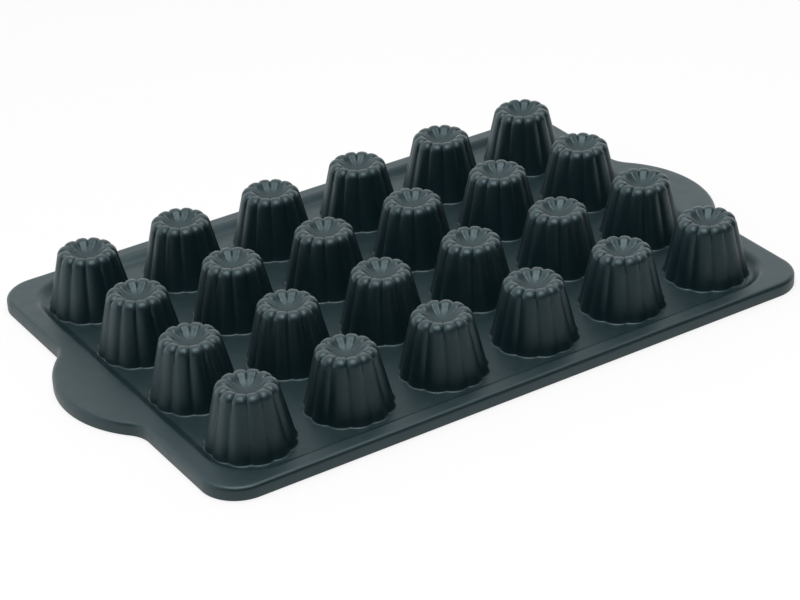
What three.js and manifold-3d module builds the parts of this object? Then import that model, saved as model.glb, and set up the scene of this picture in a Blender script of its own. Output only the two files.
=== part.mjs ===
// Mini charlotte mould: a flexible baking tray shown with its cups upward.
// Millimetres, +Z up, X along the tray, origin under the middle of the mouth side.
// A thin sheet carries a grid of fluted cups, and a thick border with two grips runs round it.

import * as THREE from 'three';
import { mergeVertices } from 'three/addons/utils/BufferGeometryUtils.js';
import Module from 'manifold-3d';

const wasm = await Module();
wasm.setup();

// Grid of cups
const COLUMNS = 6;
const ROWS = 4;
const PITCH = 47;

// Sheet, and the border that stands above and below it
const SHEET_THICKNESS = 1.5;
const BORDER_HEIGHT = 6.1;
const BORDER_STEP = 3.1;
const SIDE_BORDER = 11.4;
const END_BORDER = 13.2;
const SHOULDER_RADIUS = 1.6;
const CORNER_RADIUS = 17;

// Recess inside the border: how far it passes the feet of the outer cups, its corners and its upper edge
const END_MARGIN = 0.5;
const SIDE_MARGIN = 3.5;
const RECESS_CORNER_RADIUS = 19;
const RECESS_EDGE = 1.4;
const SEAM_RELIEF = 1;

// Grips on the two short sides
const GRIP_REACH = 16.6;
const GRIP_RADIUS = 49.7;
const GRIP_ROOT_RADIUS = 13.7;
const GRIP_SHOULDER = 5;

// Cup
const CUP_HEIGHT = 27.8;
const FOOT_RADIUS = 19.2;
const CUP_WALL = 1.5;
const LOBES = 12;
const FOOT_FLUTE = 1.1;

// Crown of the cup: a ring of beads round a petalled hollow
const BEAD_RING_RADIUS = 9.7;
const BEAD_RADIUS = 3.8;
const BEAD_GROOVE = 1.05;
const HOLLOW_DEPTH = 4.9;

// Facets: sides of one flute, and steps round the corners and the grips
const SIDES_PER_LOBE = 2;
const CORNER_STEPS = 6;
const ROOT_STEPS = 4;
const GRIP_STEPS = 12;
const SHOULDER_STEPS = 2;

// Sizes that follow from those above
const FOOT_REACH = FOOT_RADIUS * Math.cos(Math.PI / LOBES);
const RECESS_X = (COLUMNS - 1) * PITCH / 2 + FOOT_REACH + END_MARGIN;
const RECESS_Y = (ROWS - 1) * PITCH / 2 + FOOT_REACH + SIDE_MARGIN;
const BODY_X = RECESS_X + END_BORDER;
const BODY_Y = RECESS_Y + SIDE_BORDER;
const SHEET_TOP = BORDER_HEIGHT - BORDER_STEP;
const BEAD_CENTRE_Z = CUP_HEIGHT - BEAD_RADIUS;
const GRIP_CENTRE_X = BODY_X + GRIP_REACH - GRIP_RADIUS;
const ROOT_CENTRE_X = BODY_X + GRIP_ROOT_RADIUS;
const ROOT_CENTRE_Y = Math.sqrt((GRIP_RADIUS + GRIP_ROOT_RADIUS) ** 2 - (ROOT_CENTRE_X - GRIP_CENTRE_X) ** 2);
const GRIP_END_Y = ROOT_CENTRE_Y + GRIP_SHOULDER;

// Slope of the cup wall from the vertical, so that it leaves the bead ring on a tangent
const WALL_RUN = FOOT_RADIUS - BEAD_RING_RADIUS;
const WALL_SPAN = Math.hypot(WALL_RUN, BEAD_CENTRE_Z);
const WALL_LEAN = Math.atan2(WALL_RUN, BEAD_CENTRE_Z) - Math.asin(BEAD_RADIUS / WALL_SPAN);

const silicone = { roughness: 0.5, metalness: 0 };
const cupMaterial = new THREE.MeshStandardMaterial({ color: 0x3c4d4e, ...silicone });
const sheetMaterial = new THREE.MeshStandardMaterial({ color: 0x384949, ...silicone });
const borderMaterial = new THREE.MeshStandardMaterial({ color: 0x415151, ...silicone });

// Turns a closed geometry into a solid for cutting.
function solid(geometry) {
  const bare = geometry.clone();
  bare.deleteAttribute('normal');
  bare.deleteAttribute('uv');
  const merged = mergeVertices(bare, 1e-4);
  return new wasm.Manifold(new wasm.Mesh({
    numProp: 3,
    vertProperties: new Float32Array(merged.attributes.position.array),
    triVerts: new Uint32Array(merged.index.array),
  }));
}

// Turns a cut solid back into a geometry.
function geometryOf(cut) {
  const mesh = cut.getMesh();
  const geometry = new THREE.BufferGeometry();
  geometry.setAttribute('position', new THREE.BufferAttribute(new Float32Array(mesh.vertProperties), 3));
  geometry.setIndex(new THREE.BufferAttribute(new Uint32Array(mesh.triVerts), 1));
  geometry.computeVertexNormals();
  return geometry;
}

// Adds points of an arc to a list, from one angle to another in degrees, both ends included.
function arc(points, x, y, radius, from, to, steps) {
  for (let i = 0; i <= steps; i += 1) {
    const angle = THREE.MathUtils.degToRad(from + (to - from) * i / steps);
    points.push(new THREE.Vector2(x + radius * Math.cos(angle), y + radius * Math.sin(angle)));
  }
}

// Outline of the whole tray: a rectangle with round corners and a round grip at each end.
function trayOutline() {
  const rootAngle = THREE.MathUtils.radToDeg(Math.atan2(ROOT_CENTRE_Y, ROOT_CENTRE_X - GRIP_CENTRE_X));
  const cornerX = BODY_X - CORNER_RADIUS;
  const cornerY = BODY_Y - CORNER_RADIUS;
  const half = [];
  arc(half, cornerX, -cornerY, CORNER_RADIUS, -90, 0, CORNER_STEPS);
  arc(half, ROOT_CENTRE_X, -ROOT_CENTRE_Y, GRIP_ROOT_RADIUS, 180, 180 - rootAngle, ROOT_STEPS);
  arc(half, GRIP_CENTRE_X, 0, GRIP_RADIUS, -rootAngle, rootAngle, GRIP_STEPS);
  arc(half, ROOT_CENTRE_X, ROOT_CENTRE_Y, GRIP_ROOT_RADIUS, 180 + rootAngle, 180, ROOT_STEPS);
  arc(half, cornerX, cornerY, CORNER_RADIUS, 0, 90, CORNER_STEPS);
  const other = half.map((p) => new THREE.Vector2(-p.x, -p.y));
  const all = half.concat(other);
  return all.filter((p, i) => p.distanceTo(all[(i + 1) % all.length]) > 1e-3);
}

// Outline of the recess round the cups, with round corners.
function recessOutline(cornerRadius) {
  const x = RECESS_X - cornerRadius;
  const y = RECESS_Y - cornerRadius;
  const points = [];
  arc(points, x, -y, cornerRadius, -90, 0, CORNER_STEPS);
  arc(points, x, y, cornerRadius, 0, 90, CORNER_STEPS);
  arc(points, -x, y, cornerRadius, 90, 180, CORNER_STEPS);
  arc(points, -x, -y, cornerRadius, 180, 270, CORNER_STEPS);
  return points;
}

// How far a direction lies in a groove between two lobes: 1 on the groove, 0 on the lobe's crest.
function groove(angle) {
  return 1 - Math.abs(Math.sin(angle * LOBES / 2));
}

// One point of the cup's skin on a bead, at an angle round the bead's section.
function beadPoint(degrees, inset) {
  const a = THREE.MathUtils.degToRad(degrees);
  const r = BEAD_RADIUS - inset;
  const radius = BEAD_RING_RADIUS + r * Math.cos(a);
  const height = BEAD_CENTRE_Z + r * Math.sin(a);
  return { radius, height, pullR: -BEAD_GROOVE * Math.cos(a), pullZ: -BEAD_GROOVE * Math.sin(a) };
}

// Profile of the cup, from the middle of the hollow over the beads, down the wall, and back inside.
// Each point has its place on a lobe's crest and the pull that a groove gives it.
function cupProfile() {
  const wallTop = THREE.MathUtils.radToDeg(WALL_LEAN);
  const footWall = CUP_WALL / Math.cos(WALL_LEAN);
  return [
    { radius: 0, height: CUP_HEIGHT - HOLLOW_DEPTH, pullR: 0, pullZ: 0 },
    beadPoint(165, 0),
    beadPoint(90, 0),
    beadPoint(48, 0),
    beadPoint(wallTop, 0),
    { radius: FOOT_RADIUS, height: 0, pullR: -FOOT_FLUTE, pullZ: 0 },
    { radius: FOOT_RADIUS - footWall, height: 0, pullR: -FOOT_FLUTE, pullZ: 0 },
    beadPoint(wallTop, CUP_WALL),
    beadPoint(90, CUP_WALL),
    beadPoint(165, CUP_WALL),
    { radius: 0, height: CUP_HEIGHT - HOLLOW_DEPTH - CUP_WALL, pullR: 0, pullZ: 0 },
  ];
}

// Fluted cup: the profile is revolved, and each section is then drawn in at the grooves.
function cupGeometry() {
  const profile = cupProfile();
  const points = profile.map((p) => new THREE.Vector2(p.radius, p.height));
  const sides = LOBES * SIDES_PER_LOBE;
  const geometry = new THREE.LatheGeometry(points.slice().reverse(), sides);
  const position = geometry.attributes.position;
  for (let i = 0; i < position.count; i += 1) {
    const p = profile[profile.length - 1 - (i % profile.length)];
    const angle = Math.floor(i / profile.length) * 2 * Math.PI / sides;
    const pull = groove(angle);
    const radius = p.radius + p.pullR * pull;
    const height = p.height + p.pullZ * pull;
    position.setXYZ(i, radius * Math.cos(angle), radius * Math.sin(angle), height);
  }
  geometry.deleteAttribute('normal');
  geometry.deleteAttribute('uv');
  const closed = mergeVertices(geometry, 1e-4);
  closed.computeVertexNormals();
  return closed;
}

// Mouth of one cup in the sheet: the inner foot line of the fluted wall.
function mouthOutline(x, y) {
  const mouth = FOOT_RADIUS - CUP_WALL / Math.cos(WALL_LEAN);
  const sides = LOBES * SIDES_PER_LOBE;
  const points = [];
  for (let i = 0; i < sides; i += 1) {
    const angle = -i * 2 * Math.PI / sides;
    const radius = mouth - FOOT_FLUTE * groove(angle);
    points.push(new THREE.Vector2(x + radius * Math.cos(angle), y + radius * Math.sin(angle)));
  }
  return points;
}

// Middle of a cup on the grid.
function cupCentre(row, column) {
  return { x: (column - (COLUMNS - 1) / 2) * PITCH, y: (row - (ROWS - 1) / 2) * PITCH };
}

// Share of the sheet under one cup, with its mouth. A share at a corner of the tray is rounded there, a
// little more than the recess that it fills.
function sheetGeometry(row, column) {
  const { x, y } = cupCentre(row, column);
  const left = column === 0 ? -RECESS_X : x - PITCH / 2;
  const right = column === COLUMNS - 1 ? RECESS_X : x + PITCH / 2;
  const low = row === 0 ? -RECESS_Y : y - PITCH / 2;
  const high = row === ROWS - 1 ? RECESS_Y : y + PITCH / 2;
  const corners = [[right, low, -90], [right, high, 0], [left, high, 90], [left, low, 180]];
  const radius = RECESS_CORNER_RADIUS + SEAM_RELIEF;
  const points = [];
  corners.forEach(([cx, cy, turn]) => {
    if (Math.abs(cx) === RECESS_X && Math.abs(cy) === RECESS_Y) {
      const inX = cx - Math.sign(cx) * radius;
      const inY = cy - Math.sign(cy) * radius;
      arc(points, inX, inY, radius, turn, turn + 90, CORNER_STEPS);
    } else {
      points.push(new THREE.Vector2(cx, cy));
    }
  });
  const shape = new THREE.Shape(points);
  shape.holes.push(new THREE.Path(mouthOutline(x, y)));
  return new THREE.ExtrudeGeometry(shape, { depth: SHEET_THICKNESS, bevelEnabled: false });
}

// A box between two corners, used to divide the border.
function block(x0, x1, y0, y1, z0, z1) {
  const box = new THREE.BoxGeometry(x1 - x0, y1 - y0, z1 - z0);
  box.translate((x0 + x1) / 2, (y0 + y1) / 2, (z0 + z1) / 2);
  return solid(box);
}

// Border with a round outer shoulder, the recess cut through it and the recess's upper edge taken off.
function borderSolid() {
  const plate = new THREE.ExtrudeGeometry(new THREE.Shape(trayOutline()), {
    depth: BORDER_HEIGHT,
    bevelEnabled: true,
    bevelThickness: SHOULDER_RADIUS,
    bevelSize: SHOULDER_RADIUS,
    bevelOffset: -SHOULDER_RADIUS,
    bevelSegments: SHOULDER_STEPS,
  });
  plate.translate(0, 0, -SHOULDER_RADIUS);
  const recess = new THREE.ExtrudeGeometry(new THREE.Shape(recessOutline(RECESS_CORNER_RADIUS)), {
    depth: 4 * BORDER_HEIGHT,
    bevelEnabled: false,
  });
  recess.translate(0, 0, -2 * BORDER_HEIGHT);
  const edge = new THREE.ExtrudeGeometry(new THREE.Shape(recessOutline(RECESS_CORNER_RADIUS)), {
    depth: BORDER_HEIGHT,
    bevelEnabled: true,
    bevelThickness: RECESS_EDGE,
    bevelSize: RECESS_EDGE,
    bevelSegments: 1,
  });
  edge.translate(0, 0, BORDER_HEIGHT);
  return solid(plate).subtract(solid(recess)).subtract(solid(edge));
}

const group = new THREE.Group();

function add(name, geometry, material, x, y, z) {
  const mesh = new THREE.Mesh(geometry, material);
  mesh.name = name;
  mesh.position.set(x, y, z);
  group.add(mesh);
}

const cup = cupGeometry();
for (let row = 0; row < ROWS; row += 1) {
  for (let column = 0; column < COLUMNS; column += 1) {
    const { x, y } = cupCentre(row, column);
    const place = `r${row + 1}_c${column + 1}`;
    add(`cup_${place}`, cup, cupMaterial, x, y, SHEET_TOP);
    add(`sheet_${place}`, sheetGeometry(row, column), sheetMaterial, 0, 0, SHEET_TOP - SHEET_THICKNESS);
  }
}

const border = borderSolid();
const farX = BODY_X + GRIP_REACH + PITCH;
const farY = BODY_Y + PITCH;
const high = BORDER_HEIGHT + PITCH;
const front = border.intersect(block(-farX, farX, -farY, -GRIP_END_Y, 0, high));
const back = border.intersect(block(-farX, farX, GRIP_END_Y, farY, 0, high));
const left = border.intersect(block(-farX, 0, -GRIP_END_Y, GRIP_END_Y, 0, high));
const right = border.intersect(block(0, farX, -GRIP_END_Y, GRIP_END_Y, 0, high));
add('border_front', geometryOf(front), borderMaterial, 0, 0, 0);
add('border_back', geometryOf(back), borderMaterial, 0, 0, 0);
add('grip_left', geometryOf(left), borderMaterial, 0, 0, 0);
add('grip_right', geometryOf(right), borderMaterial, 0, 0, 0);

export default group;
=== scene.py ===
"""Mini charlotte mould in dark silicone.

Builds the cups, the sheet, the border and the studio round the packed frame.
"""

import math

import bpy
import numpy as np
from bpy.props import FloatProperty, FloatVectorProperty, IntProperty, PointerProperty
from bpy.types import Operator, Panel, PropertyGroup
from mathutils import Matrix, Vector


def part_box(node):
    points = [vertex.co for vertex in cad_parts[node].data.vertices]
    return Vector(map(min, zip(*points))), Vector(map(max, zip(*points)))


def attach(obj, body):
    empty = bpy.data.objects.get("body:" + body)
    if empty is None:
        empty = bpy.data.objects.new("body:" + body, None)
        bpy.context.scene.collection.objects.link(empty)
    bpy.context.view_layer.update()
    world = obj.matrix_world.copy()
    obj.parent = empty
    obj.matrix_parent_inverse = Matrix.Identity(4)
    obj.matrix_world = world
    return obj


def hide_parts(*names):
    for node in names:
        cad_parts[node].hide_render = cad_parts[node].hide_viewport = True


bl_info = {
    "name": "Mini Charlotte Mould",
    "version": (1, 0, 0),
    "blender": (4, 5, 0),
    "location": "View3D > Sidebar > Mould",
    "description": "Builds the fluted cups, sheet, border and studio of a silicone baking mould",
    "category": "Add Mesh",
}

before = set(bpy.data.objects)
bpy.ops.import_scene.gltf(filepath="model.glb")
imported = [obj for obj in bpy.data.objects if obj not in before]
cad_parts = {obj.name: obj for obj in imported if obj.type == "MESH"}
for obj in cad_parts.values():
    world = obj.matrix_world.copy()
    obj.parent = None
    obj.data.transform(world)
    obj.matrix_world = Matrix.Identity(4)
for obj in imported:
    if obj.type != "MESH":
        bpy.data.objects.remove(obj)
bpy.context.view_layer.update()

CUP_NODES = sorted(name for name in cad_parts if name.startswith("cup_"))
CUP_LOW, CUP_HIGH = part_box(CUP_NODES[0])
SHEET_NODES = sorted(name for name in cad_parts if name.startswith("sheet"))
SHEET_BOXES = [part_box(name) for name in SHEET_NODES]
SHEET_LOW, SHEET_HIGH = SHEET_BOXES[0]
RECESS_X = max(high.x for low, high in SHEET_BOXES)
RECESS_Y = max(high.y for low, high in SHEET_BOXES)
BACK_LOW, BACK_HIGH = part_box("border_back")
GRIP_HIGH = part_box("grip_right")[1]

# Flutes round a cup, and the points across one flute
LOBE_COUNT = 12
SIDES_PER_LOBE = 12
CREST_TURN = math.pi / LOBE_COUNT

# Where the hollow runs into the beads, in degrees round a bead's section, and how far it stays
# level in the middle and keeps to the bead's slope, as shares of its radius
ENTRY_ANGLE = 130
HOLLOW_LEVEL = 0.42
HOLLOW_BANK = 0.3

# Depth of the grooves between the petals as a share of the bead groove, and the degrees round a
# bead over which it grows to the whole
PETAL_GROOVE = 0.36
GROOVE_RISE = 50

# How narrow a groove is in the hollow, on the beads and at the foot, and how soon it widens down
# the wall
PETAL_NARROW = 3.0
BEAD_NARROW = 1.5
FOOT_NARROW = 1.0
WIDENING = 0.4

# Points along the parts of a cup's section
HOLLOW_POINTS = 14
BEAD_POINTS = 15
WALL_POINTS = 12
FILLET_POINTS = 7
INSIDE_POINTS = 6

# Points round a mouth's lip, and the sheet's other points as shares of the way from a mouth to its
# cell's edge
LIP_POINTS = 5
UNDERSIDE_SHARES = (1.0, 0.5, 0.0)
TOP_SHARES = (0.0, 0.3, 0.65, 1.0)

# Points across the border's section, and along its lengths
SLOPE_POINTS = 17
FLAT_POINTS = 9
EDGE_POINTS = 9
SIDE_POINTS = 25
END_POINTS = 6
CORNER_POINTS = 25
ROOT_POINTS = 13
GRIP_POINTS = 49

# Faces that meet at more than this stay sharp
SHARP_ANGLE = math.radians(62)

# Decimals of a metre to which cups share a row, how near they then lie, a slack for equal numbers,
# and the steps in a metre to which points are welded
ROW_DECIMALS = 6
SAME_ROW = 1e-5
SLACK = 1e-9
WELD_STEPS = 1e8

# Sockets of a Mix node for colours
MIX_FACTOR, MIX_FIRST, MIX_SECOND = 0, 6, 7
MIX_RESULT = 2

# Where the world's light fades, by how far a direction leans to the dark side and by its height
DARK_FADE = (-0.3, 0.32)
HORIZON_FADE = (0.08, 0.45)

# Place and width of the soft box, half width of the floor and its gap below the mould, in metres
KEY_PLACE = (-0.12, -0.2, 1.25)
KEY_WIDTH = 0.9
FLOOR_HALF = 4.0
FLOOR_GAP = 0.0001

# Sensor of the camera in millimetres, and the depth that it shows in metres
SENSOR_WIDTH = 36.0
CLIP_START = 0.05
CLIP_END = 20.0

WHITE = (1.0, 1.0, 1.0, 1.0)


def length(name, description, default):
    """A length in metres that a user may change."""
    return FloatProperty(name=name, description=description, default=default, min=0.0, precision=5,
                         subtype="DISTANCE", unit="LENGTH")


def tone(name, description, default):
    """A linear colour that a user may change."""
    return FloatVectorProperty(name=name, description=description, default=default, size=3,
                               min=0.0, max=1.0, subtype="COLOR")


def amount(name, description, default, top=1.0):
    """A plain number that a user may change."""
    return FloatProperty(name=name, description=description, default=default, min=0.0, max=top,
                         precision=4)


def turn(name, description, default):
    """An angle in radians that a user may change."""
    return FloatProperty(name=name, description=description, default=default, subtype="ANGLE",
                         unit="ROTATION")


class CupSizes(PropertyGroup):
    """Sizes of one fluted cup."""

    lobes: IntProperty(name="Lobes", description="Flutes round the cup", default=LOBE_COUNT, min=3)
    foot_radius: length("Foot radius", "Radius of a flute's crest where the wall meets the sheet",
                        (CUP_HIGH.x - CUP_LOW.x) / 2 / math.cos(CREST_TURN))
    height: length("Height", "From the sheet to the top of the beads", CUP_HIGH.z - CUP_LOW.z)
    wall: length("Wall", "Thickness of the silicone", 0.0015)
    foot_flute: length("Foot flute", "Depth of a groove at the foot", 0.0011)
    foot_fillet: length("Foot fillet", "Radius of the round where the wall runs into the sheet",
                        0.0009)
    ring_radius: length("Bead ring", "Radius of the ring through the beads", 0.0097)
    bead_radius: length("Bead", "Radius of a bead's section", 0.0038)
    bead_groove: length("Bead groove", "Depth of the groove between two beads", 0.00105)
    hollow_depth: length("Hollow", "Depth of the petalled hollow below the beads", 0.0038)


class TraySizes(PropertyGroup):
    """Sizes of the sheet, the border and the grips."""

    recess_x: length("Recess half length", "Half of the recess inside the border", RECESS_X)
    recess_y: length("Recess half width", "Half of the recess inside the border", RECESS_Y)
    recess_corner: length("Recess corner", "Corner radius of the recess", 0.019)
    body_x: length("Half length", "Half of the tray without its grips", BACK_HIGH.x)
    body_y: length("Half width", "Half of the tray across", BACK_HIGH.y)
    corner: length("Corner", "Outer corner radius", 0.017)
    border_top: length("Border height", "Top of the border", BACK_HIGH.z)
    shoulder: length("Shoulder", "Radius of the outer top edge", 0.0018)
    slope_lead: length("Slope lead", "How far the border's inner slope runs out over the sheet",
                       0.0009)
    slope_run: length("Slope run", "Width of the border's inner slope", 0.0046)
    lower_edge: length("Lower edge", "Radius of the bottom edges", 0.0005)
    sheet_top: length("Sheet top", "Upper face of the sheet", SHEET_HIGH.z)
    sheet_low: length("Sheet underside", "Lower face of the sheet", SHEET_LOW.z)
    mouth_lip: length("Mouth lip", "Radius of the mouths' lower edge", 0.0006)
    seam_y: length("Grip seam", "Half width of a grip's length of border", BACK_LOW.y)
    grip_reach: length("Grip reach", "How far a grip stands out", GRIP_HIGH.x - BACK_HIGH.x)
    grip_radius: length("Grip radius", "Radius of a grip's outer edge", 0.0497)
    grip_root: length("Grip root", "Radius where a grip leaves the tray", 0.0137)


class SiliconeLook(PropertyGroup):
    """Colour and surface of the silicone."""

    deep: tone("Deep tone", "Darker tone of the silicone", (0.0005, 0.0082, 0.0114))
    pale: tone("Pale tone", "Lighter tone of the silicone", (0.0009, 0.0112, 0.0154))
    sheen_tone: tone("Reflection tone", "Colour of a reflection that is seen straight on",
                     (0.74, 0.96, 1.0))
    refraction: amount("Refraction", "Index of refraction of the silicone", 1.6, top=3.0)
    satin_low: amount("Satin, low", "Smoothest patches", 0.41)
    satin_high: amount("Satin, high", "Roughest patches", 0.5)
    grain: length("Grain", "Height of the moulded grain", 0.00003)


class StudioSettings(PropertyGroup):
    """Camera, light and floor."""

    azimuth: turn("Azimuth", "Direction of the camera from straight in front",
                  math.radians(-31.6855))
    elevation: turn("Elevation", "Height of the camera as an angle", math.radians(29.4677))
    roll: turn("Roll", "Tilt of the camera about its own axis", math.radians(-2.6323))
    distance: length("Distance", "From the camera to the point it looks at", 1.1324)
    lens: amount("Lens", "Focal length in millimetres on a 36 mm sensor", 115.16, top=500.0)
    aim: FloatVectorProperty(name="Aim", size=3, subtype="TRANSLATION",
                             description="Point that the camera looks at, above the sheet",
                             default=(-0.005944, -0.009667, 0.0))
    sky: amount("Sky", "Strength of the soft light from behind and from the sides", 1.12, top=5.0)
    sky_front: amount("Sky in front", "Share of that light from the dark side of the room", 0.06)
    horizon: amount("Horizon", "How much brighter that light is low down, as a factor", 1.9,
                    top=5.0)
    dark_side: turn("Dark side", "Direction of the room's dark side from straight in front", 0.0)
    key_power: amount("Key power", "Watts of the soft box overhead", 14.0, top=500.0)
    floor_tone: tone("Floor", "Colour of the floor", (0.73, 0.73, 0.73))
    floor_white: amount("Floor white", "Share of the floor that shows as plain white", 0.8)


def arc_angles(start, end, count):
    """Evenly spaced angles from start to end, both given in degrees and both included."""
    return np.radians(np.linspace(start, end, count))


def directions(angles):
    """Directions at the angles: their cosines beside their sines."""
    return np.stack([np.cos(angles), np.sin(angles)], axis=1)


def unit(vector):
    """The vector divided by its length."""
    return vector / np.linalg.norm(vector)


def bezier(p0, p1, p2, p3, count):
    """Cubic curve through p0 and p3 pulled towards p1 and p2, with its slope at each point."""
    t = np.linspace(0.0, 1.0, count)[:, None]
    s = 1.0 - t
    place = s**3 * p0 + 3 * s**2 * t * p1 + 3 * s * t**2 * p2 + t**3 * p3
    slope = 3 * s**2 * (p1 - p0) + 6 * s * t * (p2 - p1) + 3 * t**2 * (p3 - p2)
    return place, slope


def wall_lean(cup):
    """Angle of the cup wall from upright: the line from the foot that touches a bead's circle."""
    run = cup.foot_radius - cup.ring_radius
    rise = cup.height - cup.bead_radius
    return math.atan2(run, rise) - math.asin(cup.bead_radius / math.hypot(run, rise))


def mouth_radius(cup):
    """Radius of the mouth at a flute's crest: the foot's, less the leaning wall measured level."""
    return cup.foot_radius - cup.wall / math.cos(wall_lean(cup))


def flute_turns(cup):
    """Evenly spaced directions round a cup, in radians, with the same number in each flute."""
    columns = cup.lobes * SIDES_PER_LOBE
    return np.arange(columns) * 2 * math.pi / columns


def groove_share(turns, lobes):
    """How far each direction lies in a groove: the square of its distance from the lobe's crest."""
    across = (turns * lobes / (2 * math.pi)) % 1.0
    return (2 * across - 1) ** 2


def crown_rows(cup, inset):
    """Crest line of the crown from the middle of the hollow to the top of the wall, with grooves.

    The hollow is a cubic curve that leaves the middle level and meets the bead's circle on a
    tangent. A groove pulls each point along the line's own normal, by the bead groove on the beads
    and by a share that falls with the square of the radius in the hollow, where it is narrower, so
    that the petals are flat. The result is the points, and a groove's pull and narrowness at each.
    """
    section = cup.bead_radius - inset
    centre = np.array([cup.ring_radius, cup.height - cup.bead_radius])
    entry = math.radians(ENTRY_ANGLE)
    meet = centre + section * np.array([math.cos(entry), math.sin(entry)])
    down = np.array([-math.sin(entry), math.cos(entry)])
    pole = np.array([0.0, cup.height - cup.hollow_depth - inset])
    level = pole + np.array([HOLLOW_LEVEL * meet[0], 0.0])
    bank = meet + down * HOLLOW_BANK * meet[0]
    line, slope = bezier(pole, level, bank, meet, HOLLOW_POINTS)
    normal = np.stack([-slope[:, 1], slope[:, 0]], axis=1)
    normal /= np.linalg.norm(normal, axis=1)[:, None]
    petal = PETAL_GROOVE * ((line[:, 0] / meet[0]) ** 2)[:, None]
    angles = arc_angles(ENTRY_ANGLE, math.degrees(wall_lean(cup)), BEAD_POINTS)[1:]
    outward = directions(angles)
    rise = np.clip((entry - angles) / math.radians(GROOVE_RISE), 0.0, 1.0)[:, None]
    bead = PETAL_GROOVE + (1 - PETAL_GROOVE) * rise
    bead_narrow = PETAL_NARROW + (BEAD_NARROW - PETAL_NARROW) * rise[:, 0]
    rows = np.concatenate([line, centre + section * outward])
    pull = -cup.bead_groove * np.concatenate([petal * normal, bead * outward])
    narrow = np.concatenate([np.full(len(line), PETAL_NARROW), bead_narrow])
    return rows, pull, narrow


def cup_rows(cup):
    """Whole section of the cup as points (radius, height), with a groove's pull and narrowness.

    It runs from the hollow over the beads, down the straight wall and its foot fillet, back along
    the sheet, up the inside and to the middle of the inner crown, one wall thickness below the
    outer one. Between crown and foot, pull and narrowness change from the one's to the other's.
    """
    lean = wall_lean(cup)
    outer, outer_pull, outer_narrow = crown_rows(cup, 0.0)
    inner, inner_pull, inner_narrow = crown_rows(cup, cup.wall)
    spread = cup.foot_fillet / math.tan((math.pi / 2 + lean) / 2)
    fillet_middle = np.array([cup.foot_radius + spread, cup.foot_fillet])
    angles = arc_angles(180 + math.degrees(lean), 270, FILLET_POINTS)
    fillet = fillet_middle + cup.foot_fillet * directions(angles)
    foot_pull = np.array([-cup.foot_flute, 0.0])
    down = np.linspace(0.0, 1.0, WALL_POINTS)[1:-1, None]
    wall = outer[-1] + (fillet[0] - outer[-1]) * down
    wall_pull = outer_pull[-1] + (foot_pull - outer_pull[-1]) * down
    wall_narrow = BEAD_NARROW + (FOOT_NARROW - BEAD_NARROW) * down[:, 0] ** WIDENING
    inner_foot = np.array([[mouth_radius(cup), 0.0]])
    up = np.linspace(0.0, 1.0, INSIDE_POINTS)[1:-1, None]
    inside = inner_foot + (inner[-1] - inner_foot) * up
    inside_pull = foot_pull + (inner_pull[-1] - foot_pull) * up
    inside_narrow = FOOT_NARROW + (BEAD_NARROW - FOOT_NARROW) * up[:, 0]
    foot_count = len(fillet) + len(inner_foot)
    rows = np.concatenate([outer, wall, fillet, inner_foot, inside, inner[::-1]])
    pull = np.concatenate([outer_pull, wall_pull, np.tile(foot_pull, (foot_count, 1)),
                           inside_pull, inner_pull[::-1]])
    narrow = np.concatenate([outer_narrow, wall_narrow, np.full(foot_count, FOOT_NARROW),
                             inside_narrow, inner_narrow[::-1]])
    return rows, pull, narrow


def ring_faces(rows, columns):
    """Four-sided faces between neighbouring rows of points that run round a closed ring."""
    row = np.arange(rows - 1)[:, None] * columns
    column = np.arange(columns)[None, :]
    beside = (column + 1) % columns
    faces = [row + column, row + columns + column, row + columns + beside, row + beside]
    return np.stack(faces, axis=-1).reshape(-1, 4)


def cup_skin(cup):
    """Points and faces of one cup at the origin: the section turned about Z, with its grooves.

    A point at turn t is (radius cos t, radius sin t, height), where radius and height are those of
    the section plus its pull times the groove share of t, to the power of its narrowness. The two
    ends of the section are single points.
    """
    rows, pull, narrow = cup_rows(cup)
    turns = flute_turns(cup)
    columns = len(turns)
    depth = groove_share(turns, cup.lobes)[None, :, None] ** narrow[1:-1, None, None]
    placed = rows[1:-1, None, :] + pull[1:-1, None, :] * depth
    radius, height = placed[..., 0], placed[..., 1]
    points = np.stack([radius * np.cos(turns), radius * np.sin(turns), height], axis=-1)
    points = points.reshape(-1, 3)
    count = len(points)
    poles = np.array([[0.0, 0.0, rows[0, 1]], [0.0, 0.0, rows[-1, 1]]])
    side = np.arange(columns)
    beside = (side + 1) % columns
    last = count - columns
    top = np.stack([np.full(columns, count), side, beside], axis=1)
    under = np.stack([last + side, np.full(columns, count + 1), last + beside], axis=1)
    faces = ring_faces(len(rows) - 2, columns).tolist() + top.tolist() + under.tolist()
    return np.concatenate([points, poles]), faces


def cell_edge(turns, reach, corner):
    """Edge of one cup's cell of the sheet in each direction: a rectangle, with one round corner.

    reach is how far the cell goes to the right, back, left and front. Each quarter of the
    directions goes to one side, at the tangent of its angle times the side's half length. corner is
    (sign x, sign y, radius), and points within the radius move on to its arc, or None.
    """
    right, back, left, front = reach
    x, y = np.cos(turns), np.sin(turns)
    longest = np.maximum(np.abs(x), np.abs(y))
    x, y = x / longest, y / longest
    edge = np.stack([np.where(x > 0, x * right, x * left),
                     np.where(y > 0, y * back, y * front)], axis=1)
    if corner is not None:
        sign_x, sign_y, radius = corner
        wide = (right if sign_x > 0 else left) - radius
        deep = (back if sign_y > 0 else front) - radius
        in_x, in_y = edge[:, 0] * sign_x - wide, edge[:, 1] * sign_y - deep
        inside = (in_x > 0) & (in_y > 0)
        on_side = in_x >= in_y - SLACK
        angle = np.where(on_side, in_y / radius, 2 - in_x / radius) * math.pi / 4
        bent_x = sign_x * (wide + radius * np.cos(angle))
        bent_y = sign_y * (deep + radius * np.sin(angle))
        edge = np.where(inside[:, None], np.stack([bent_x, bent_y], axis=1), edge)
    return edge


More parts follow.
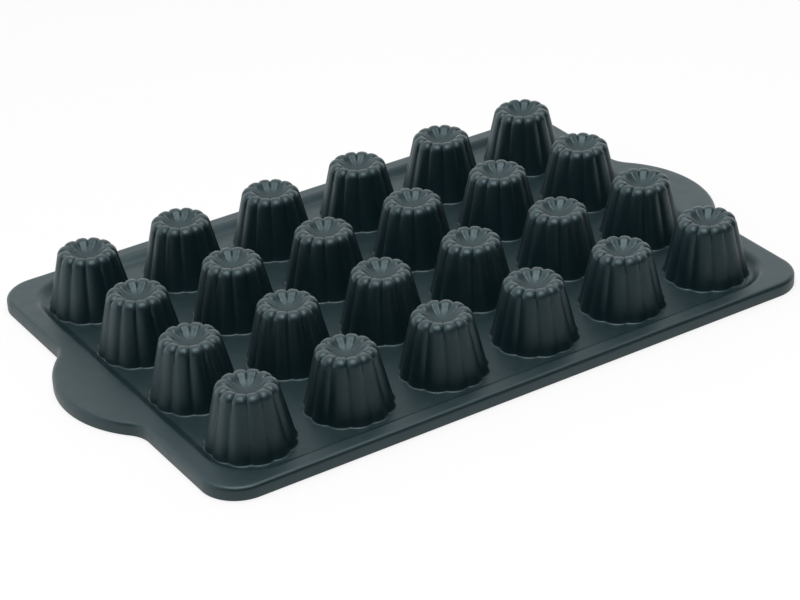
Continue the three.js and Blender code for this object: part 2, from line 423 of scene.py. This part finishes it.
def cell_loops(cup, tray, turns, edge):
    """Rings of points of one cell of the sheet, round the middle of its cup.

    They go from the cell's edge along the underside, round the mouth's lip, up to the top and back
    out to the edge. The mouth is the cup's inner foot line.
    """
    way = directions(turns)
    rim = way * (mouth_radius(cup) - cup.foot_flute * groove_share(turns, cup.lobes))[:, None]
    lip = rim + way * tray.mouth_lip
    rings = [(lip + (edge - lip) * share, tray.sheet_low) for share in UNDERSIDE_SHARES]
    for angle in arc_angles(0, 90, LIP_POINTS)[1:]:
        rings.append((rim + way * tray.mouth_lip * (1 - math.sin(angle)),
                      tray.sheet_low + tray.mouth_lip * (1 - math.cos(angle))))
    rings += [(rim + (edge - rim) * share, tray.sheet_top) for share in TOP_SHARES]
    return np.stack([np.column_stack([ring, np.full(len(ring), height)]) for ring, height in rings])


def weld(points, faces):
    """Joins points that share a place, to a hundredth of a micrometre, and renumbers the faces."""
    keys = np.round(points * WELD_STEPS).astype(np.int64)
    _, first, index = np.unique(keys, axis=0, return_index=True, return_inverse=True)
    return points[first], index.reshape(-1)[faces]


def sheet_skin(cup, tray, centres):
    """Points and faces of the sheet: one cell round each cup's mouth, welded to its neighbours.

    A cell goes half a pitch each way, or on the outside to the recess, where its rim is closed. The
    sides of a cell are numbered from the right through back and left to the front, and a direction
    faces the side within an eighth of a turn of it.
    """
    turns = flute_turns(cup)
    columns = len(turns)
    facing = np.floor(turns / (math.pi / 2) + 0.5 + SLACK).astype(int) % 4
    xs = np.unique(np.round(centres[:, 0], ROW_DECIMALS))
    ys = np.unique(np.round(centres[:, 1], ROW_DECIMALS))
    half_x, half_y = (xs[1] - xs[0]) / 2, (ys[1] - ys[0]) / 2
    all_points, all_faces = [], []
    count = 0
    for x, y in centres:
        outside = np.abs([x - xs[-1], y - ys[-1], x - xs[0], y - ys[0]]) < SAME_ROW
        recess = [tray.recess_x - x, tray.recess_y - y, tray.recess_x + x, tray.recess_y + y]
        reach = np.where(outside, recess, [half_x, half_y, half_x, half_y])
        corner = None
        if (outside[0] or outside[2]) and (outside[1] or outside[3]):
            corner = (1 if outside[0] else -1, 1 if outside[1] else -1, tray.recess_corner)
        loops = cell_loops(cup, tray, turns, cell_edge(turns, reach, corner))
        side = np.flatnonzero(outside[facing])
        beside = (side + 1) % columns
        top_row = (len(loops) - 1) * columns
        rim_faces = np.stack([top_row + side, side, beside, top_row + beside], axis=1)
        all_points.append(loops.reshape(-1, 3) + np.array([x, y, 0.0]))
        all_faces.append(np.concatenate([ring_faces(len(loops), columns), rim_faces]) + count)
        count += len(loops) * columns
    return weld(np.concatenate(all_points), np.concatenate(all_faces))


def corner_run(tray, sign, start):
    """Inner and outer edge round a back corner: quarter circles with the same directions.

    sign is 1 on the right and -1 on the left, and start is the first direction in degrees.
    """
    way = directions(arc_angles(start, start + 90, CORNER_POINTS))
    in_radius, out_radius = tray.recess_corner, tray.corner
    inner = np.array([sign * (tray.recess_x - in_radius), tray.recess_y - in_radius])
    outer = np.array([sign * (tray.body_x - out_radius), tray.body_y - out_radius])
    return inner + in_radius * way, outer + out_radius * way, way, way


def straight_run(inner_ends, outer_ends, way, count):
    """Inner and outer edge of a straight length, divided evenly, with one outward direction."""
    share = np.linspace(0.0, 1.0, count)[:, None]
    inner = np.array(inner_ends[0]) * (1 - share) + np.array(inner_ends[1]) * share
    outer = np.array(outer_ends[0]) * (1 - share) + np.array(outer_ends[1]) * share
    ways = np.tile(np.array(way, float), (count, 1))
    return inner, outer, ways, ways


def join_runs(runs):
    """Runs laid end to end, each without the point that it shares with the one before."""
    trimmed = [runs[0]] + [[part[1:] for part in run] for run in runs[1:]]
    return [np.concatenate(parts) for parts in zip(*trimmed)]


def back_path(tray):
    """Edges of the back border from its right-hand seam round both corners to its left-hand one."""
    in_x, in_y, out_x, out_y = tray.recess_x, tray.recess_y, tray.body_x, tray.body_y
    in_side, in_end = in_x - tray.recess_corner, in_y - tray.recess_corner
    out_side, out_end = out_x - tray.corner, out_y - tray.corner
    seam = tray.seam_y
    return join_runs([
        straight_run([(in_x, seam), (in_x, in_end)],
                     [(out_x, seam), (out_x, out_end)], (1, 0), END_POINTS),
        corner_run(tray, 1, 0),
        straight_run([(in_side, in_y), (-in_side, in_y)],
                     [(out_side, out_y), (-out_side, out_y)], (0, 1), SIDE_POINTS),
        corner_run(tray, -1, 90),
        straight_run([(-in_x, in_end), (-in_x, seam)],
                     [(-out_x, out_end), (-out_x, seam)], (-1, 0), END_POINTS),
    ])


def grip_path(tray):
    """Edges of the right-hand grip from its front seam to its back seam.

    Outside it is a straight length, a hollow root arc, the grip's own arc, and the same again
    mirrored. The inner edge is straight, with its points spaced as the outer ones are along their
    line.
    """
    middle_x = tray.body_x + tray.grip_reach - tray.grip_radius
    root_x = tray.body_x + tray.grip_root
    root_y = math.sqrt((tray.grip_radius + tray.grip_root) ** 2 - (root_x - middle_x) ** 2)
    swing = math.atan2(root_y, root_x - middle_x)
    root_way = directions(np.linspace(math.pi, math.pi - swing, ROOT_POINTS))
    root = np.array([root_x, -root_y]) + tray.grip_root * root_way
    bow_way = directions(np.linspace(-swing, swing, GRIP_POINTS)[1:-1])
    bow = np.array([middle_x, 0.0]) + tray.grip_radius * bow_way
    half = np.concatenate([[[tray.body_x, -tray.seam_y]], root])
    half_way = np.concatenate([[[1.0, 0.0]], -root_way])
    flip = np.array([1.0, -1.0])
    outer = np.concatenate([half, bow, half[::-1] * flip])
    ways = np.concatenate([half_way, bow_way, half_way[::-1] * flip])
    steps = np.linalg.norm(np.diff(outer, axis=0), axis=1)
    share = np.concatenate([[0.0], np.cumsum(steps)]) / steps.sum()
    inner = np.stack([np.full(len(share), tray.recess_x), tray.seam_y * (2 * share - 1)], axis=1)
    return inner, outer, np.tile(np.array([1.0, 0.0]), (len(share), 1)), ways


def border_skin(path, tray):
    """Points and faces of a length of border: its closed section carried along both its edges.

    The section starts on the sheet and climbs an S-shaped slope, which at a share t of its width
    has risen by t squared times 3 - 2 t of its height. It crosses the flat top, rounds the
    shoulder, drops down the skirt, and returns under the border. The bottom edges are rounded with
    every second point of the shoulder's round.
    """
    inner, outer, in_way, out_way = path
    quarter = arc_angles(0, 90, EDGE_POINTS)
    round_edge = list(zip(np.sin(quarter), np.cos(quarter)))
    loops = []

    def add(edge, way, offset, height):
        loops.append(np.concatenate([edge + way * offset, np.full((len(edge), 1), height)], axis=1))

    rise = tray.border_top - tray.sheet_top
    for t in np.linspace(0.0, 1.0, SLOPE_POINTS):
        add(inner, in_way, tray.slope_run * t - tray.slope_lead * (1 - t),
            tray.sheet_top + rise * t * t * (3 - 2 * t))
    shoulder = tray.shoulder
    start = inner + in_way * tray.slope_run
    end = outer - out_way * shoulder
    for share in np.linspace(0.0, 1.0, FLAT_POINTS)[1:-1]:
        add(start + (end - start) * share, in_way, 0.0, tray.border_top)
    for s, c in round_edge:
        add(outer, out_way, shoulder * (s - 1), tray.border_top - shoulder * (1 - c))
    low = tray.lower_edge
    for s, c in round_edge[::2]:
        add(outer, out_way, low * (c - 1), low * (1 - s))
    for s, c in round_edge[::2]:
        add(inner, in_way, low * (1 - s), low * (1 - c))
    for s, c in round_edge[::2]:
        add(inner, in_way, low * (c - 1), tray.sheet_low - low * (1 - s))
    add(inner, in_way, 0.0, tray.sheet_low)
    add(inner, in_way, 0.0, tray.sheet_top)
    grid = np.stack(loops, axis=1)
    steps, around = grid.shape[:2]
    first = np.arange(around)[::-1]
    last = (steps - 1) * around + np.arange(around)
    faces = ring_faces(steps, around).tolist() + [first.tolist(), last.tolist()]
    return grid.reshape(-1, 3), faces


def half_turn(points):
    """The same points turned half round the Z axis."""
    return points * np.array([-1.0, -1.0, 1.0])


def piece(name, points, faces, material):
    """A smooth mesh object at the origin with its place in its points."""
    mesh = bpy.data.meshes.new(name)
    mesh.from_pydata(np.asarray(points).tolist(), [], [list(face) for face in faces])
    mesh.validate()
    mesh.polygons.foreach_set("use_smooth", np.ones(len(mesh.polygons), bool))
    mesh.set_sharp_from_angle(angle=SHARP_ANGLE)
    mesh.materials.append(material)
    mesh.update()
    thing = bpy.data.objects.new(name, mesh)
    bpy.context.scene.collection.objects.link(thing)
    return thing


def settle(thing, *nodes):
    """Puts a piece on the part in the place of its solids, and hides those solids."""
    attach(thing, "root")
    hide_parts(*nodes)


def cup_middle(name):
    """Middle of a cup's solid at its foot."""
    low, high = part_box(name)
    return np.array([(low.x + high.x) / 2, (low.y + high.y) / 2, low.z])


def node(tree, kind, x, y, **values):
    """A shader node at a place in the editor, with input values set by name."""
    made = tree.nodes.new(kind)
    made.location = (x, y)
    for key, value in values.items():
        made.inputs[key.replace("_", " ")].default_value = value
    return made


def silicone_material(look):
    """Satin silicone: slow drifts of tone, patchy gloss and a fine moulded grain.

    All three are noises on Object coordinates. The first mixes the two tones, the second sets the
    roughness between its two limits, and the third is a bump.
    """
    found = bpy.data.materials.get("dark silicone")
    if found:
        return found
    material = bpy.data.materials.new("dark silicone")
    material.use_nodes = True
    tree = material.node_tree
    shader = tree.nodes["Principled BSDF"]
    shader.inputs["IOR"].default_value = look.refraction
    shader.inputs["Specular Tint"].default_value = (*look.sheen_tone, 1.0)
    place = node(tree, "ShaderNodeTexCoord", -1100, 0).outputs["Object"]
    drift = node(tree, "ShaderNodeTexNoise", -850, 250, Scale=28.0, Detail=3.0, Roughness=0.55)
    tones = node(tree, "ShaderNodeMix", -400, 250)
    tones.data_type = "RGBA"
    tones.inputs[MIX_FIRST].default_value = (*look.deep, 1.0)
    tones.inputs[MIX_SECOND].default_value = (*look.pale, 1.0)
    patches = node(tree, "ShaderNodeTexNoise", -850, 0, Scale=160.0, Detail=4.0, Roughness=0.6)
    gloss = node(tree, "ShaderNodeMapRange", -400, 0, From_Min=0.3, From_Max=0.7,
                 To_Min=look.satin_low, To_Max=look.satin_high)
    grain = node(tree, "ShaderNodeTexNoise", -850, -280, Scale=1400.0, Detail=2.0, Roughness=0.5)
    bump = node(tree, "ShaderNodeBump", -400, -280, Strength=0.35, Distance=look.grain)
    links = tree.links
    for texture in (drift, patches, grain):
        links.new(place, texture.inputs["Vector"])
    links.new(drift.outputs["Fac"], tones.inputs[MIX_FACTOR])
    links.new(tones.outputs[MIX_RESULT], shader.inputs["Base Color"])
    links.new(patches.outputs["Fac"], gloss.inputs["Value"])
    links.new(gloss.outputs["Result"], shader.inputs["Roughness"])
    links.new(grain.outputs["Fac"], bump.inputs["Height"])
    links.new(bump.outputs["Normal"], shader.inputs["Normal"])
    return material


class MOULD_OT_cups(Operator):
    """Builds the fluted cups, each in the place of its solid"""

    bl_idname = "mould.cups"
    bl_label = "Fluted cups"

    def execute(self, context):
        material = silicone_material(context.scene.mould_silicone)
        points, faces = cup_skin(context.scene.mould_cup)
        for name in CUP_NODES:
            settle(piece("fluted_" + name, points + cup_middle(name), faces, material), name)
        return {"FINISHED"}


class MOULD_OT_sheet(Operator):
    """Builds the sheet that carries the cups, with a mouth under each"""

    bl_idname = "mould.sheet"
    bl_label = "Sheet"

    def execute(self, context):
        scene = context.scene
        material = silicone_material(scene.mould_silicone)
        centres = np.array([cup_middle(name)[:2] for name in CUP_NODES])
        points, faces = sheet_skin(scene.mould_cup, scene.mould_tray, centres)
        settle(piece("cup_sheet", points, faces, material), *SHEET_NODES)
        return {"FINISHED"}


class MOULD_OT_border(Operator):
    """Builds the raised border round the sheet and the grips at its ends"""

    bl_idname = "mould.border"
    bl_label = "Border and grips"

    def execute(self, context):
        scene = context.scene
        tray = scene.mould_tray
        material = silicone_material(scene.mould_silicone)
        back, back_faces = border_skin(back_path(tray), tray)
        grip, grip_faces = border_skin(grip_path(tray), tray)
        settle(piece("rim_back", back, back_faces, material), "border_back")
        settle(piece("rim_front", half_turn(back), back_faces, material), "border_front")
        settle(piece("rim_grip_right", grip, grip_faces, material), "grip_right")
        settle(piece("rim_grip_left", half_turn(grip), grip_faces, material), "grip_left")
        return {"FINISHED"}


def math_node(tree, operation, x, y, first, second):
    """Socket of a Math node that works on two sockets."""
    made = node(tree, "ShaderNodeMath", x, y)
    made.operation = operation
    tree.links.new(first, made.inputs[0])
    tree.links.new(second, made.inputs[1])
    return made.outputs[0]


def floor_material(studio):
    """Matt pale floor that shows mostly plain white, with the shadow kept.

    For rays from the camera, in a reflection or through a clear thing, a share of it is white
    light.
    """
    material = bpy.data.materials.new("pale floor")
    material.use_nodes = True
    tree = material.node_tree
    tree.nodes.clear()
    out = node(tree, "ShaderNodeOutputMaterial", 600, 0)
    matt = node(tree, "ShaderNodeBsdfDiffuse", 0, 120, Color=(*studio.floor_tone, 1.0))
    white = node(tree, "ShaderNodeEmission", 0, -60, Color=WHITE, Strength=1.0)
    path = node(tree, "ShaderNodeLightPath", -500, 400)
    seen = math_node(tree, "MAXIMUM", -300, 400,
                     path.outputs["Is Camera Ray"], path.outputs["Is Glossy Ray"])
    seen = math_node(tree, "MAXIMUM", -130, 400, seen, path.outputs["Is Transmission Ray"])
    share = node(tree, "ShaderNodeMath", 150, 300)
    share.operation = "MULTIPLY"
    share.inputs[1].default_value = studio.floor_white
    mix = node(tree, "ShaderNodeMixShader", 350, 0)
    links = tree.links
    links.new(seen, share.inputs[0])
    links.new(share.outputs[0], mix.inputs[0])
    links.new(matt.outputs[0], mix.inputs[1])
    links.new(white.outputs[0], mix.inputs[2])
    links.new(mix.outputs[0], out.inputs[0])
    return material


def studio_world(studio):
    """White all round to the camera and through a clear thing, and soft light otherwise.

    The light is full behind and falls to a small share on the dark side. A factor makes it brighter
    low down.
    """
    world = bpy.data.worlds.new("studio")
    bpy.context.scene.world = world
    world.use_nodes = True
    tree = world.node_tree
    tree.nodes.clear()
    out = node(tree, "ShaderNodeOutputWorld", 700, 0)
    place = node(tree, "ShaderNodeTexCoord", -900, 0).outputs["Generated"]
    front = node(tree, "ShaderNodeVectorMath", -700, 100)
    front.operation = "DOT_PRODUCT"
    front.inputs[1].default_value = (math.sin(studio.dark_side), -math.cos(studio.dark_side), 0.0)
    fade = node(tree, "ShaderNodeMapRange", -500, 100, From_Min=DARK_FADE[0], From_Max=DARK_FADE[1],
                To_Min=studio.sky, To_Max=studio.sky * studio.sky_front)
    fade.interpolation_type = "SMOOTHSTEP"
    split = node(tree, "ShaderNodeSeparateXYZ", -700, -100)
    low = node(tree, "ShaderNodeMapRange", -500, -150, From_Min=HORIZON_FADE[0],
               From_Max=HORIZON_FADE[1], To_Min=studio.horizon, To_Max=1.0)
    low.interpolation_type = "SMOOTHSTEP"
    level = math_node(tree, "MULTIPLY", -250, 0, fade.outputs["Result"], low.outputs["Result"])
    light = node(tree, "ShaderNodeBackground", 0, 0, Color=WHITE)
    white = node(tree, "ShaderNodeBackground", 0, -150, Color=WHITE, Strength=1.0)
    path = node(tree, "ShaderNodeLightPath", -50, 350)
    seen = math_node(tree, "MAXIMUM", 200, 250,
                     path.outputs["Is Camera Ray"], path.outputs["Is Transmission Ray"])
    mix = node(tree, "ShaderNodeMixShader", 450, 0)
    links = tree.links
    links.new(place, front.inputs[0])
    links.new(front.outputs["Value"], fade.inputs["Value"])
    links.new(place, split.inputs[0])
    links.new(split.outputs["Z"], low.inputs["Value"])
    links.new(level, light.inputs["Strength"])
    links.new(seen, mix.inputs[0])
    links.new(light.outputs[0], mix.inputs[1])
    links.new(white.outputs[0], mix.inputs[2])
    links.new(mix.outputs[0], out.inputs[0])


def set_up(name, data, axes, place):
    """A camera or lamp at a place, with the directions of its right, its top and its back."""
    pose = np.eye(4)
    pose[:3, :3] = np.stack(axes, axis=1)
    pose[:3, 3] = place
    thing = bpy.data.objects.new(name, data)
    thing.matrix_world = Matrix(pose.tolist())
    bpy.context.scene.collection.objects.link(thing)
    return thing


def studio_camera(studio, sheet_top):
    """Camera on a sphere round its aim, at the azimuth, elevation, roll and distance set."""
    a, e, r = studio.azimuth, studio.elevation, studio.roll
    back = np.array([math.sin(a) * math.cos(e), -math.cos(a) * math.cos(e), math.sin(e)])
    side = unit(np.cross([0.0, 0.0, 1.0], back))
    up = np.cross(back, side)
    right = math.cos(r) * side + math.sin(r) * up
    above = math.cos(r) * up - math.sin(r) * side
    aim = np.array(studio.aim) + np.array([0.0, 0.0, sheet_top])
    data = bpy.data.cameras.new("studio camera")
    data.sensor_fit = "HORIZONTAL"
    data.sensor_width = SENSOR_WIDTH
    data.lens = studio.lens
    data.clip_start = CLIP_START
    data.clip_end = CLIP_END
    place = aim + back * studio.distance
    bpy.context.scene.camera = set_up("studio camera", data, [right, above, back], place)


def soft_box(watts):
    """Square lamp overhead that faces the middle of the mould."""
    data = bpy.data.lights.new("soft box", "AREA")
    data.shape = "SQUARE"
    data.size = KEY_WIDTH
    data.energy = watts
    back = unit(np.array(KEY_PLACE))
    side = unit(np.cross([0.0, 1.0, 0.0], back))
    set_up("soft box", data, [side, np.cross(back, side), back], KEY_PLACE)


class MOULD_OT_studio(Operator):
    """Sets up the floor, the light and the camera"""

    bl_idname = "mould.studio"
    bl_label = "Studio"

    def execute(self, context):
        scene = context.scene
        studio = scene.mould_studio
        corners = [(x * FLOOR_HALF, y * FLOOR_HALF, -FLOOR_GAP)
                   for x, y in ((-1, -1), (1, -1), (1, 1), (-1, 1))]
        mesh = bpy.data.meshes.new("pale floor")
        mesh.from_pydata(corners, [], [(0, 1, 2, 3)])
        mesh.materials.append(floor_material(studio))
        floor = bpy.data.objects.new("pale floor", mesh)
        scene.collection.objects.link(floor)
        studio_world(studio)
        studio_camera(studio, scene.mould_tray.sheet_top)
        soft_box(studio.key_power)
        scene.view_settings.view_transform = "Standard"
        return {"FINISHED"}


class MOULD_PT_sidebar(Panel):
    """Lists the pieces of the mould and its studio"""

    bl_idname = "MOULD_PT_sidebar"
    bl_label = "Mini Charlotte Mould"
    bl_space_type = "VIEW_3D"
    bl_region_type = "UI"
    bl_category = "Mould"

    def draw(self, context):
        for operator in OPERATORS:
            self.layout.operator(operator.bl_idname)
        for name in GROUPS:
            group = getattr(context.scene, name)
            box = self.layout.box()
            box.label(text=type(group).__doc__)
            for key in type(group).__annotations__:
                box.prop(group, key)


OPERATORS = (MOULD_OT_cups, MOULD_OT_sheet, MOULD_OT_border, MOULD_OT_studio)
GROUPS = {"mould_cup": CupSizes, "mould_tray": TraySizes, "mould_silicone": SiliconeLook,
          "mould_studio": StudioSettings}
CLASSES = tuple(GROUPS.values()) + OPERATORS + (MOULD_PT_sidebar,)


def register():
    """Adds the classes, and the groups of sizes to the scene."""
    for cls in CLASSES:
        bpy.utils.register_class(cls)
    for name, group in GROUPS.items():
        setattr(bpy.types.Scene, name, PointerProperty(type=group))


def unregister():
    """Takes the groups and the classes away again."""
    for name in GROUPS:
        delattr(bpy.types.Scene, name)
    for cls in reversed(CLASSES):
        bpy.utils.unregister_class(cls)


def main():
    """Builds the mould and its studio."""
    register()
    bpy.ops.mould.cups()
    bpy.ops.mould.sheet()
    bpy.ops.mould.border()
    bpy.ops.mould.studio()


if __name__ == "__main__":
    main()
